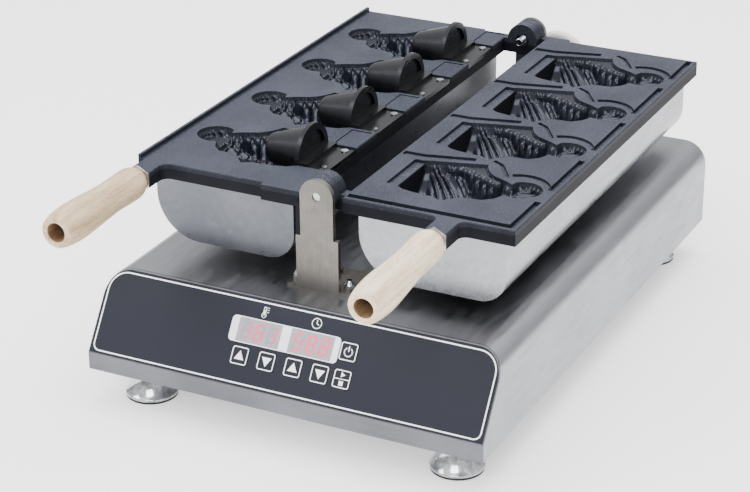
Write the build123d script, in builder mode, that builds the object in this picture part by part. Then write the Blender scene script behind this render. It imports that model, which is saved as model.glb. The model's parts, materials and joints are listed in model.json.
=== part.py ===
from build123d import *
from math import atan2, cos, degrees, hypot, pi, radians, sin, tan
import os

# Open-mouth taiyaki maker: a sheet steel base with a sloped control panel carries two posts.
# Two cast mould halves turn on short pins in the posts, each with a heater box and a handle.
# Millimetres, +X right, +Y back, +Z up. The feet stand on z = 0, centred on the origin.

os.makedirs("parts", exist_ok=True)

# ---------------------------------------------------------------- driving dimensions
# Base
base_width = 400.0
base_length = 570.0
base_height = 87.0
foot_height = 35.0
strip_height = 17.0
slope_setback = 47.0
corner_bend = 24.0
sheet = 1.2
panel_sheet = 1.5

# Posts and hinge
post_setback = 78.7
post_thick = 5.0
post_wide = 42.8
neck_wide = 33.2
shoulder_rise = 52.7
pivot_rise = 92.6
post_foot_wide = 68.0
post_foot_depth = 50.0
post_foot_thick = 3.0
pin_radius = 4.0
pin_fit = 0.05
pin_recess = 1.3
pin_tail_front = 18.0
pin_tail_rear = 8.6
ear_radius = 16.5
outer_ear_thick = 9.8
inner_ear_thick = 11.5
ear_gap = 0.5
front_arm_reach = 59.6
rear_arm_reach = 45.0
parting_gap = 0.4

# Mould castings
plate_inner = 20.7
plate_outer = 188.1
plate_thick = 14.8
plate_front_setback = 89.4
plate_rear_setback = 10.8
edge_chamfer = 0.8
block_inner = 38.5
block_outer = 172.5
block_margin = 14.0
block_drop = 25.5
cavity_pitch = 104.8
cavity_count = 4
cavity_shift = 0.9
rim_height = 4.0
rim_width = 3.0
rim_clearance = 1.0
groove_depth = 4.0
groove_margin = 4.0
front_groove_width = 7.0
side_groove_width = 6.0
side_groove_gap = 28.0
side_groove_shift = 2.0
vent_depth = 2.5
vent_width = 8.0

# One fish, measured from the hinge line (u) and from its own centre line (v)
mouth_u = 50.0
mouth_radius = 30.5
belly_u = 82.0
belly_radius = 34.5
neck_u = 138.0
neck_radius = 18.0
fin_depth = 13.0
fin_draft = 14.0
body_run_out = 20.0
back_fin_u = 107.0
back_fin_v = 47.0
belly_fin_u = 101.0
belly_fin_v = -47.0
tail_u = 147.0
tail_tip_u = 176.5
tail_tip_v = 5.0
tail_depth = 10.0
gill_u = 100.0
gill_radius = 31.5
gill_line = 1.6

# Cores
core_length = 46.0
core_collar = 5.0
core_neck_radius = 26.0
core_tip_radius = 13.0
core_bend = 7.0
core_clearance = 0.5
core_foot_gap = 0.5
core_foot_thick = 4.5
core_foot_sink = 6.0
core_bar_width = 9.0
core_bar_rise = 2.5
core_bar_clearance = 0.6
core_pocket_depth = 2.5
core_pocket_rim = 6.0
core_screw_spread = 44.0
core_screw_inset = 8.0
core_screw_radius = 2.0
seat_panel_depth = 1.0
seat_panel_margin = 4.0

# Heater boxes
box_inner = 33.3
box_outer = 177.7
box_depth = 62.4
box_front_margin = 7.2
box_wall = 1.2
box_bend_left = 44.0
box_bend_right = 27.0
element_radius = 4.0
element_spread = 62.0
pad_gap = 2.0
pad_fit = 0.3
box_screw_spread_x = 60.0
box_screw_spread_y = 340.0
box_screw_radius = 2.0
probe_radius = 3.0
probe_length = 45.0
probe_depth = 40.0

# Handles
handle_length = 133.0
handle_radius = 17.8
handle_end_radius = 14.0
handle_waist_radius = 15.0
handle_bulb_radius = 15.8
handle_bore_radius = 8.7
handle_bore_depth = 74.0
stud_radius = 4.0
stud_grip = 14.0
stud_clearance = 0.3
ferrule_radius = 10.5
ferrule_thick = 2.5
nut_radius = 7.4
nut_thick = 6.5
lug_width = 22.0
left_lug_x = 175.5
left_lug_reach = 26.0
right_lug_x = 126.0
right_lug_reach = 31.5
right_handle_droop = 2.5

# Feet
foot_inset_x = 42.0
foot_inset_y = 40.0
foot_base_radius = 25.0
foot_neck_radius = 13.0
foot_rim = 2.6
foot_pad_thick = 2.0

# Control panel, with places measured on the slope from its lower bend
overlay_inset = 1.0
overlay_thick = 0.8
window_x = -7.5
window_v = 51.9
window_width = 110.0
window_height = 23.8
window_bend = 4.0
window_clearance = 0.2
display_width = 43.4
display_height = 21.8
display_spacing = 52.9
display_offset = 0.7
bezel_proud = 0.4
key_width = 17.2
key_bend = 2.6
key_clearance = 0.3
key_travel = 0.5
key_proud = 0.4
key_chamfer = 0.25
key_row_v = 28.2
power_key_v = 53.0
board_gap = 10.0
board_thick = 1.6
board_width = 150.0
board_height = 60.0
board_x = 2.0
board_v = 42.0

# Conduits
conduit_radius = 4.5
conduit_bulge = 31.0
gland_radius = 8.0
gland_length = 7.0
gland_height = 60.0
conduit_drop = 42.0

# ---------------------------------------------------------------- places worked out
base_bottom = foot_height
base_top = base_bottom + base_height
strip_top = base_bottom + strip_height
left_lug_front = plate_front_setback - left_lug_reach
right_lug_front = plate_front_setback - right_lug_reach
handle_reach = (handle_length + ferrule_thick) * cos(radians(right_handle_droop))
handle_overhang = handle_reach + handle_end_radius * sin(radians(right_handle_droop)) - right_lug_front
front = (handle_overhang - base_length - conduit_bulge) / 2
back = front + base_length
slope_angle = atan2(base_height - strip_height, slope_setback)
slope_length = hypot(base_height - strip_height, slope_setback)
slope_face = Plane(
    origin=(0, front, strip_top), x_dir=(1, 0, 0), z_dir=(0, -sin(slope_angle), cos(slope_angle))
)
slope_axis = Axis(slope_face.origin, slope_face.z_dir)
slope_seat = slope_face.offset(-panel_sheet)
board_face = slope_seat.offset(-board_gap)

shoulder = base_top + shoulder_rise
pivot_height = base_top + pivot_rise
parting = pivot_height - parting_gap
plate_bottom = parting - plate_thick
plate_front = front + plate_front_setback
plate_back = back - plate_rear_setback
plate_length = plate_back - plate_front
plate_mid_y = (plate_front + plate_back) / 2
front_post_face = front + post_setback
rear_post_face = back
front_stack = front_post_face + post_thick + ear_gap
rear_stack = rear_post_face - post_thick - ear_gap
left_inner_ear_back = rear_stack - outer_ear_thick - ear_gap
core_radius = mouth_radius - core_clearance
core_foot_length = 2 * core_radius
cavity_row = plate_mid_y + cavity_shift - (cavity_count - 1) * cavity_pitch / 2
cavity_centres = [cavity_row + i * cavity_pitch for i in range(cavity_count)]
electrics_x = base_width / 2 - 80.0
box_front = plate_front + box_front_margin
box_back = plate_back - box_front_margin
box_bottom = plate_bottom - box_depth
block_bottom = plate_bottom - block_drop
handle_axis_height = plate_bottom + plate_thick / 2
key_places = {
    "temperature_up_key": (-46.6, key_row_v),
    "temperature_down_key": (-19.4, key_row_v),
    "timer_up_key": (7.8, key_row_v),
    "timer_down_key": (34.5, key_row_v),
    "start_stop_key": (56.8, key_row_v),
    "power_key": (56.8, power_key_v),
}
post_bolt_spots = [(-26.0, 12.5), (26.0, 12.5), (0.0, 39.5)]
foot_spots = [
    (sx * (base_width / 2 - foot_inset_x), y)
    for sx in (-1, 1)
    for y in (front + foot_inset_y, back - foot_inset_y)
]


def facing(y):
    """Upright plane at y that faces the front, so that a negative extrusion runs back."""
    return Plane(origin=(0, y, 0), x_dir=(1, 0, 0), z_dir=(0, -1, 0))


def save(piece, name):
    """Label a finished piece and write it under its own name."""
    piece.part.label = name
    export_step(piece.part, f"parts/{name}.step")


def housing_section(inset, mode=Mode.ADD):
    """Front view of the folded housing: upright sides and rounded top corners."""
    side = base_width / 2 - inset
    top = base_top - inset
    with BuildLine() as outline:
        FilletPolyline(
            (-side, base_bottom),
            (-side, top),
            (side, top),
            (side, base_bottom),
            radius=corner_bend - inset,
        )
        Line((side, base_bottom), (-side, base_bottom))
    make_face(outline.edges(), mode=mode)


# ---------------------------------------------------------------- base sheets
bolt_radius = 3.0
bolt_clearance = 0.3
gland_spots = {"left": (-52.0, base_bottom + gland_height), "right": (-18.0, base_bottom + gland_height)}
inlet_spot = (electrics_x, base_bottom + gland_height - 16.0)
inlet_radius = 9.0


def post_bolt_places():
    """Bolt centres of both post feet, in plan."""
    ahead = [(x, front_post_face + d) for x, d in post_bolt_spots]
    behind = [(x, rear_post_face - d) for x, d in post_bolt_spots]
    return ahead + behind


with BuildPart() as base_housing:
    with BuildSketch(facing(front + panel_sheet)):
        housing_section(0)
        housing_section(sheet, Mode.SUBTRACT)
    extrude(amount=-(base_length - panel_sheet))
    split(bisect_by=slope_seat, keep=Keep.BOTTOM)
    with BuildSketch(Plane.XY.offset(base_top)):
        with Locations(*post_bolt_places()):
            Circle(bolt_radius + bolt_clearance)
    extrude(amount=-2 * sheet, mode=Mode.SUBTRACT)
save(base_housing, "base_housing")

with BuildPart() as front_panel:
    with BuildSketch(Plane.YZ.offset(-base_width / 2)):
        with BuildLine():
            Polyline(
                (front, base_bottom),
                (front, strip_top),
                (front + slope_setback, base_top),
                (front + slope_setback + panel_sheet / sin(slope_angle), base_top),
                (
                    front + panel_sheet,
                    strip_top + (panel_sheet - panel_sheet / sin(slope_angle)) * tan(slope_angle),
                ),
                (front + panel_sheet, base_bottom),
                close=True,
            )
        make_face()
    extrude(amount=base_width)
    with BuildSketch(facing(front)):
        housing_section(0)
    extrude(amount=-base_length, mode=Mode.INTERSECT)
    with BuildSketch(slope_seat):
        with Locations((board_x, board_v)):
            with GridLocations(board_width - 10, board_height - 10, 2, 2):
                Circle(3.0)
    extrude(amount=-board_gap)
    with BuildSketch(slope_face):
        with Locations((window_x, window_v)):
            RectangleRounded(
                window_width + 2 * window_clearance, window_height + 2 * window_clearance, window_bend
            )
        with Locations(*key_places.values()):
            RectangleRounded(key_width + 2 * key_clearance, key_width + 2 * key_clearance, key_bend)
    extrude(amount=-panel_sheet, mode=Mode.SUBTRACT)
save(front_panel, "front_panel")

with BuildPart() as bottom_pan:
    with BuildSketch(Plane.XY.offset(base_bottom)):
        with Locations((0, (front + back + panel_sheet - sheet) / 2)):
            Rectangle(base_width - 2 * sheet, base_length - panel_sheet - sheet)
        with Locations(*foot_spots):
            Circle(bolt_radius + bolt_clearance, mode=Mode.SUBTRACT)
        with GridLocations(24, 90, 6, 3):
            Rectangle(6, 60, mode=Mode.SUBTRACT)
    extrude(amount=sheet)
save(bottom_pan, "bottom_pan")

with BuildPart() as rear_panel:
    with BuildSketch(facing(back)):
        housing_section(sheet)
        with Locations(*gland_spots.values()):
            Circle(gland_radius - 2, mode=Mode.SUBTRACT)
        with Locations(inlet_spot):
            Circle(inlet_radius, mode=Mode.SUBTRACT)
        with Locations((-electrics_x, base_bottom + base_height / 2)):
            with GridLocations(11, 1, 8, 1):
                Rectangle(5, 38, mode=Mode.SUBTRACT)
    extrude(amount=sheet)
save(rear_panel, "rear_panel")

# ---------------------------------------------------------------- feet and bolts
foot_bore = 3.0
with BuildPart() as feet:
    for x, y in foot_spots:
        with BuildSketch(Plane.XZ.offset(-y)):
            with BuildLine():
                Polyline(
                    (x + bolt_radius + bolt_clearance, foot_height),
                    (x + bolt_radius + bolt_clearance, foot_pad_thick + foot_bore),
                    (x + foot_neck_radius - 2, foot_pad_thick + foot_bore),
                    (x + foot_neck_radius - 2, foot_pad_thick),
                    (x + foot_base_radius, foot_pad_thick),
                    (x + foot_base_radius, foot_pad_thick + foot_rim),
                    (x + foot_base_radius - 3.5, foot_pad_thick + foot_rim + 1.2),
                )
                ThreePointArc(
                    (x + foot_base_radius - 3.5, foot_pad_thick + foot_rim + 1.2),
                    (x + foot_neck_radius + 2.4, foot_height * 0.55),
                    (x + foot_neck_radius, foot_height),
                )
                Line((x + foot_neck_radius, foot_height), (x + bolt_radius + bolt_clearance, foot_height))
            make_face()
        revolve(axis=Axis((x, y, 0), (0, 0, 1)))
save(feet, "feet")

with BuildPart() as foot_pads:
    with BuildSketch(Plane.XY):
        with Locations(*foot_spots):
            Circle(foot_base_radius - 0.6)
            Circle(foot_neck_radius - 2, mode=Mode.SUBTRACT)
    extrude(amount=foot_pad_thick)
save(foot_pads, "foot_pads")

with BuildPart() as foot_bolts:
    with BuildSketch(Plane.XY.offset(foot_pad_thick + foot_bore)):
        with Locations(*foot_spots):
            Circle(bolt_radius)
    extrude(amount=foot_height - foot_pad_thick - foot_bore + sheet + 6)
    with BuildSketch(Plane.XY.offset(foot_height + sheet)):
        with Locations(*foot_spots):
            RegularPolygon(5.8, 6)
    extrude(amount=5)
save(foot_bolts, "foot_bolts")

with BuildPart() as post_bolts:
    nut_seat = base_top + post_foot_thick
    with BuildSketch(Plane.XY.offset(base_top - sheet - 4)):
        with Locations(*post_bolt_places()):
            RegularPolygon(5.8, 6)
    extrude(amount=4)
    with BuildSketch(Plane.XY.offset(base_top - sheet)):
        with Locations(*post_bolt_places()):
            Circle(bolt_radius)
    extrude(amount=sheet + post_foot_thick)
    with BuildSketch(Plane.XY.offset(nut_seat)):
        with Locations(*post_bolt_places()):
            RegularPolygon(5.8, 6)
    extrude(amount=4.5)
    with BuildSketch(Plane.XY.offset(nut_seat + 4.5)):
        with Locations(*post_bolt_places()):
            Circle(4.6)
    extrude(amount=4.0, taper=28)
save(post_bolts, "post_bolts")


# ---------------------------------------------------------------- posts and pins
def make_post(name, face_y, inward):
    """Plate post with shoulders, a round head and a welded foot that runs inward."""
    with BuildPart() as post:
        with BuildSketch(facing(face_y)):
            with Locations((0, base_top + shoulder_rise / 2)):
                Rectangle(post_wide, shoulder_rise)
            with Locations((0, (shoulder + pivot_height) / 2)):
                Rectangle(neck_wide, pivot_height - shoulder)
            with Locations((0, pivot_height)):
                Circle(neck_wide / 2)
                Circle(pin_radius + pin_fit, mode=Mode.SUBTRACT)
        extrude(amount=-inward * post_thick)
        with BuildSketch(Plane.XY.offset(base_top)):
            with Locations((0, face_y + inward * post_foot_depth / 2)):
                RectangleRounded(post_foot_wide, post_foot_depth, 5)
            with Locations(*[(x, face_y + inward * d) for x, d in post_bolt_spots]):
                Circle(bolt_radius + bolt_clearance, mode=Mode.SUBTRACT)
        extrude(amount=post_foot_thick)
    save(post, name)


make_post("front_post", front_post_face, 1)
make_post("rear_post", rear_post_face, -1)

stack_thick = ear_gap + outer_ear_thick + ear_gap + inner_ear_thick + ear_gap


def make_pin(name, face_y, inward, tail):
    """Hinge pin held in a post, with a spring-clip groove near its free end."""
    length = post_thick - pin_recess + stack_thick + tail
    groove_at = face_y + inward * (pin_recess + length - tail + 1.0)
    with BuildPart() as pin:
        with BuildSketch(facing(face_y + inward * pin_recess)):
            with Locations((0, pivot_height)):
                Circle(pin_radius)
        extrude(amount=-inward * length)
        chamfer(pin.faces().sort_by(Axis.Y)[-1 if inward > 0 else 0].edges(), 0.8)
        with BuildSketch(facing(groove_at)):
            with Locations((0, pivot_height)):
                Circle(pin_radius + 2.6)
        extrude(amount=-inward * 1.2)
    save(pin, name)


make_pin("front_hinge_pin", front_post_face, 1, pin_tail_front)
make_pin("rear_hinge_pin", rear_post_face, -1, pin_tail_rear)


# ---------------------------------------------------------------- the fish form
with BuildPart() as fish_form:
    with BuildSketch(Plane.XY):
        with BuildLine():
            Polyline((neck_u + body_run_out, 0), (mouth_u, 0), (mouth_u, mouth_radius))
            Spline(
                (mouth_u, mouth_radius),
                (belly_u, belly_radius),
                (neck_u, neck_radius),
                tangents=((1, 0.25), (1, -0.5)),
            )
            Line((neck_u, neck_radius), (neck_u + body_run_out, 0))
        make_face()
    revolve(axis=Axis.X)
    with BuildSketch(Plane.XY):
        with Locations((gill_u, gill_radius)):
            Circle(gill_line)
    revolve(axis=Axis.X)
    with BuildSketch(Plane.XY):
        with BuildLine():
            Polyline((mouth_u, -mouth_radius), (mouth_u, mouth_radius + 1), (back_fin_u, back_fin_v))
            ThreePointArc((back_fin_u, back_fin_v), (117.0, 30.0), (neck_u, neck_radius))
            Polyline(
                (neck_u, neck_radius),
                (tail_u + 4, 10.0),
                (tail_u + 4, -4.0),
                (neck_u + 5, -22.0),
                (neck_u - 4, -30.0),
                (neck_u - 23, -31.5),
                (belly_fin_u + 9, -37.0),
                (belly_fin_u, belly_fin_v),
                (belly_fin_u - 9, -41.5),
            )
            ThreePointArc((belly_fin_u - 9, -41.5), (73.0, -40.0), (mouth_u + 9, -37.0))
            Line((mouth_u + 9, -37.0), (mouth_u, -mouth_radius))
        make_face()
    extrude(amount=-fin_depth, taper=fin_draft)
    with BuildSketch(Plane.XY):
        with BuildLine():
            ThreePointArc((tail_u, 21.0), (163.0, 24.0), (tail_tip_u, tail_tip_v))
            ThreePointArc((tail_tip_u, tail_tip_v), (169.0, -8.5), (tail_u, -11.0))
            ThreePointArc((tail_u, -11.0), (tail_u - 3.0, 5.0), (tail_u, 21.0))
        make_face()
    extrude(amount=-tail_depth, taper=fin_draft)

left_fish_form = mirror(fish_form.part, about=Plane.YZ, mode=Mode.PRIVATE)

with BuildPart() as vent_form:
    with BuildSketch(Plane.XY):
        with BuildLine():
            Polyline((23.5, 41.0), (44.0, 41.0), (92.0, 52.5))
        trace(line_width=vent_width)
        with BuildLine():
            Polyline((108.0, 58.0), (118.0, 52.0), (134.0, 28.0))
        trace(line_width=0.5 * vent_width)
        with BuildLine():
            ThreePointArc((137.0, 33.0), (156.0, 37.5), (176.0, 21.0))
        trace(line_width=0.8 * vent_width)
    extrude(amount=-vent_depth)


# ---------------------------------------------------------------- mould castings
def ear(side, y_low, thick, reach):
    """Round hinge ear on the pivot, with the arm that joins it to its plate."""
    with BuildSketch(facing(y_low)) as profile:
        with Locations((0, pivot_height)):
            Circle(ear_radius)
        with Locations((side * reach / 2, (plate_bottom + parting) / 2)):
            Rectangle(reach, plate_thick)
    extrude(profile.sketch, amount=-thick)


def plate_outline(side, lug_x, lug_front):
    """Plan of a casting: the plate with its handle lug."""
    with BuildSketch(Plane.XY.offset(plate_bottom)) as outline:
        with Locations((side * (plate_inner + plate_outer) / 2, plate_mid_y)):
            Rectangle(plate_outer - plate_inner, plate_length)
        with Locations((side * lug_x, (lug_front - 1 + plate_front + 1) / 2)):
            Rectangle(lug_width, plate_front + 2 - lug_front)
        roots = [
            v
            for v in outline.vertices()
            if abs(v.Y - plate_front) < 0.01 and 10 < abs(abs(v.X) - plate_outer) < plate_outer / 2
        ]
        fillet(roots, radius=8.0)
    casting = extrude(outline.sketch, amount=plate_thick)
    chamfer(casting.edges().group_by(Axis.Z)[-1], edge_chamfer)


def casting_block(side):
    """The thick, drafted belly of the casting, inside the heater box."""
    with BuildSketch(Plane.XY.offset(plate_bottom)) as plan:
        with Locations((side * (block_inner + block_outer) / 2, plate_mid_y)):
            Rectangle(block_outer - block_inner, plate_length - 2 * block_margin)
    extrude(plan.sketch, amount=-block_drop, taper=2)


def box_screw_places(side):
    """Centres of the four screws that hold a heater box, in the flat of its floor."""
    mid = side * (box_inner + box_outer) / 2 + (box_bend_left - box_bend_right) / 2
    return [
        (mid + sx * box_screw_spread_x / 2, plate_mid_y + sy * box_screw_spread_y / 2)
        for sx in (-1, 1)
        for sy in (-1, 1)
    ]


screw_hold = 5.0
probe_height = block_bottom + 8.0
probe_x = 150.0
block_back = plate_back - block_margin


def casting_holes(side):
    """Blind holes for the box screws and the temperature probe."""
    with BuildSketch(Plane.XY.offset(block_bottom)) as screw_plan:
        with Locations(*box_screw_places(side)):
            Circle(box_screw_radius)
    extrude(screw_plan.sketch, amount=screw_hold, mode=Mode.SUBTRACT)
    with BuildSketch(facing(block_back)) as probe_plan:
        with Locations((side * probe_x, probe_height)):
            Circle(probe_radius + 0.1)
    extrude(probe_plan.sketch, amount=probe_depth, mode=Mode.SUBTRACT)


def rest_lug(side, post_face, inward):
    """Leg beside the post's neck that rests on the shoulder when the half lies open."""
    lug_in = neck_wide / 2 + 0.6
    lug_out = post_wide / 2
    top = plate_bottom + plate_thick / 2
    with BuildSketch(facing(post_face + inward * 0.5)) as profile:
        with Locations((side * (lug_in + lug_out) / 2, (shoulder + 0.1 + top) / 2)):
            Rectangle(lug_out - lug_in, top - shoulder - 0.1)
    extrude(profile.sketch, amount=-inward * (post_thick + ear_gap + 0.5))


def stud_plane(side, lug_x, lug_front, droop):
    """Plane on a lug's front face that looks along the handle, away from the lug."""
    return Plane(
        origin=(side * lug_x, lug_front, handle_axis_height),
        x_dir=(1, 0, 0),
        z_dir=(0, -cos(radians(droop)), -sin(radians(droop))),
    )


left_stud_plane = stud_plane(-1, left_lug_x, front + left_lug_front, 0)
right_stud_plane = stud_plane(1, right_lug_x, front + right_lug_front, right_handle_droop)
stud_hole = stud_radius + pin_fit

with BuildPart() as left_mould_plate:
    plate_outline(-1, left_lug_x, front + left_lug_front)
    casting_block(-1)
    ear(-1, front_stack, outer_ear_thick, front_arm_reach)
    ear(-1, left_inner_ear_back - inner_ear_thick, inner_ear_thick, plate_inner + 1)
    with BuildSketch(Plane.XY.offset(plate_bottom)):
        with Locations((-(plate_inner + mouth_u) / 2, (left_inner_ear_back + plate_back) / 2)):
            Rectangle(mouth_u - plate_inner, plate_back - left_inner_ear_back)
    extrude(amount=plate_thick, mode=Mode.SUBTRACT)
    rest_lug(-1, front_post_face, 1)
    rim_outer = plate_outer + rim_clearance + rim_width
    with BuildSketch(Plane.XY.offset(plate_bottom)):
        with Locations((-(plate_outer + rim_outer) / 2, plate_mid_y)):
            Rectangle(rim_outer - plate_outer, plate_length)
    extrude(amount=plate_thick)
    with BuildSketch(Plane.XY.offset(parting)):
        with Locations((-(rim_outer - rim_width / 2), plate_mid_y)):
            Rectangle(rim_width, plate_length)
    extrude(amount=rim_height)
    with Locations(*[(0, y, parting) for y in cavity_centres]):
        add(left_fish_form, mode=Mode.SUBTRACT)
    with BuildSketch(Plane.XY.offset(parting)):
        with Locations(*[(-(mouth_u + plate_inner) / 2, y) for y in cavity_centres]):
            Rectangle(mouth_u - plate_inner + 1.0, core_foot_length + 2 * core_foot_gap)
    extrude(amount=-core_foot_sink, mode=Mode.SUBTRACT)
    with BuildSketch(Plane.XY.offset(parting)):
        for y in cavity_centres:
            with Locations((-(mouth_u + plate_inner) / 2, y + cavity_pitch / 2)):
                Rectangle(
                    mouth_u - plate_inner - 2 * seat_panel_margin,
                    cavity_pitch - core_foot_length - 2 * seat_panel_margin,
                )
    extrude(amount=-seat_panel_depth, mode=Mode.SUBTRACT)
    core_screw_places = [
        (-(plate_inner + core_screw_inset), y + sy * core_screw_spread / 2)
        for y in cavity_centres
        for sy in (-1, 1)
    ]
    with BuildSketch(Plane.XY.offset(parting - core_foot_sink)):
        with Locations(*core_screw_places):
            Circle(core_screw_radius)
    extrude(amount=-7.0, mode=Mode.SUBTRACT)
    with BuildSketch(facing(front)):
        with Locations((0, pivot_height)):
            Circle(pin_radius + pin_fit)
    extrude(amount=-base_length, mode=Mode.SUBTRACT)
    casting_holes(-1)
    split(bisect_by=left_stud_plane, keep=Keep.BOTTOM)
    with BuildSketch(left_stud_plane):
        Circle(stud_hole)
    extrude(amount=-stud_grip, mode=Mode.SUBTRACT)
save(left_mould_plate, "left_mould_plate")

with BuildPart() as right_mould_plate:
    plate_outline(1, right_lug_x, front + right_lug_front)
    casting_block(1)
    ear(1, rear_stack - outer_ear_thick, outer_ear_thick, rear_arm_reach)
    ear(1, front_stack + outer_ear_thick + ear_gap, inner_ear_thick, plate_inner + 1)
    rest_lug(1, rear_post_face, -1)
    with Locations(*[(0, y, parting) for y in cavity_centres]):
        add(fish_form.part, mode=Mode.SUBTRACT)
        add(vent_form.part, mode=Mode.SUBTRACT)
    with BuildSketch(Plane.XY.offset(parting)):
        with Locations(*[(mouth_u - core_bar_width / 2, y) for y in cavity_centres]):
            Rectangle(core_bar_width + 2 * core_bar_clearance, core_foot_length + 2 * core_bar_clearance)
    extrude(amount=-(core_bar_rise + core_bar_clearance), mode=Mode.SUBTRACT)
    with BuildSketch(Plane.XY.offset(parting)):
        groove_out = plate_outer - groove_margin
        groove_front = plate_front + groove_margin
        with Locations(((plate_inner + groove_out) / 2 + 1, groove_front + front_groove_width / 2)):
            Rectangle(groove_out - plate_inner - 2, front_groove_width)
        for y in [cavity_centres[0] - cavity_pitch] + cavity_centres:
            gap_low = max(y + side_groove_shift + side_groove_gap / 2, groove_front)
            gap_high = y + side_groove_shift + cavity_pitch - side_groove_gap / 2
            high = min(gap_high, plate_back - groove_margin)
            with Locations((groove_out - side_groove_width / 2, (gap_low + high) / 2)):
                Rectangle(side_groove_width, high - gap_low)
    extrude(amount=-groove_depth, mode=Mode.SUBTRACT)
    with BuildSketch(facing(front)):
        with Locations((0, pivot_height)):
            Circle(pin_radius + pin_fit)
    extrude(amount=-base_length, mode=Mode.SUBTRACT)
    casting_holes(1)
    split(bisect_by=right_stud_plane, keep=Keep.BOTTOM)
    with BuildSketch(right_stud_plane):
        Circle(stud_hole)
    extrude(amount=-stud_grip, mode=Mode.SUBTRACT)
save(right_mould_plate, "right_mould_plate")

# ---------------------------------------------------------------- cores
core_foot_width = mouth_u - plate_inner - core_foot_gap
for number, y in enumerate(cavity_centres, start=1):
    core_face = Plane(origin=(-mouth_u, y, parting), x_dir=(0, 1, 0), z_dir=(1, 0, 0))
    with BuildPart() as core:
        with BuildSketch(Plane(origin=(-mouth_u, y, parting), x_dir=(-1, 0, 0), z_dir=(0, 0, 1))):
            with BuildLine():
                FilletPolyline(
                    (core_collar, core_neck_radius),
                    (core_length, core_tip_radius),
                    (core_length, 0),
                    radius=core_bend,
                )
                Polyline(
                    (core_length, 0),
                    (0, 0),
                    (0, core_radius),
                    (core_collar - 1, core_radius),
                    (core_collar, core_neck_radius),
                )
            make_face()
        revolve(axis=Axis((-mouth_u, y, parting), (-1, 0, 0)))
        with BuildSketch(core_face):
            Circle(core_radius - core_pocket_rim)
            with Locations((0, -core_radius / 2 + 2)):
                Rectangle(2 * core_radius, core_radius + 8, mode=Mode.SUBTRACT)
        extrude(amount=-core_pocket_depth, mode=Mode.SUBTRACT)
        with BuildSketch(Plane.XY.offset(parting - core_foot_sink)):
            with Locations((-(mouth_u - core_foot_width / 2), y)):
                Rectangle(core_foot_width, core_foot_length)
        extrude(amount=core_foot_thick)
        with BuildSketch(Plane.XY.offset(parting - core_foot_sink)):
            with Locations((-(mouth_u - core_bar_width / 2), y)):
                Rectangle(core_bar_width, core_foot_length)
        extrude(amount=core_foot_sink + core_bar_rise)
        with BuildSketch(Plane.XY.offset(parting - core_foot_sink)):
            with Locations(*[spot for spot in core_screw_places if abs(spot[1] - y) < mouth_radius]):
                Circle(core_screw_radius + bolt_clearance)
        extrude(amount=core_foot_thick, mode=Mode.SUBTRACT)
    save(core, f"core_{number}")

with BuildPart() as core_screws:
    with BuildSketch(Plane.XY.offset(parting - core_foot_sink - 6.0)):
        with Locations(*core_screw_places):
            Circle(core_screw_radius - pin_fit)
    extrude(amount=6.0 + core_foot_thick)
    with BuildSketch(Plane.XY.offset(parting - core_foot_sink + core_foot_thick)):
        with Locations(*core_screw_places):
            Circle(3.6)
    extrude(amount=1.2)
save(core_screws, "core_screws")


# ---------------------------------------------------------------- heater boxes
def box_section(side, inset, top, mode=Mode.ADD):
    """Front view of a heater box: a trough whose left bend is larger than its right one."""
    low_x, high_x = sorted((side * box_inner, side * box_outer))
    low_x += inset
    high_x -= inset
    floor = box_bottom + inset
    left_bend = box_bend_left - inset
    right_bend = box_bend_right - inset
    with BuildLine() as outline:
        Polyline((low_x, floor + left_bend), (low_x, top), (high_x, top), (high_x, floor + right_bend))
        RadiusArc((high_x, floor + right_bend), (high_x - right_bend, floor), right_bend)
        Line((high_x - right_bend, floor), (low_x + left_bend, floor))
        RadiusArc((low_x + left_bend, floor), (low_x, floor + left_bend), left_bend)
    make_face(outline.edges(), mode=mode)


gland_x = 72.0
box_length = box_back - box_front
element_height = block_bottom - element_radius - 0.1
pad_top = element_height - element_radius - pad_gap


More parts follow.
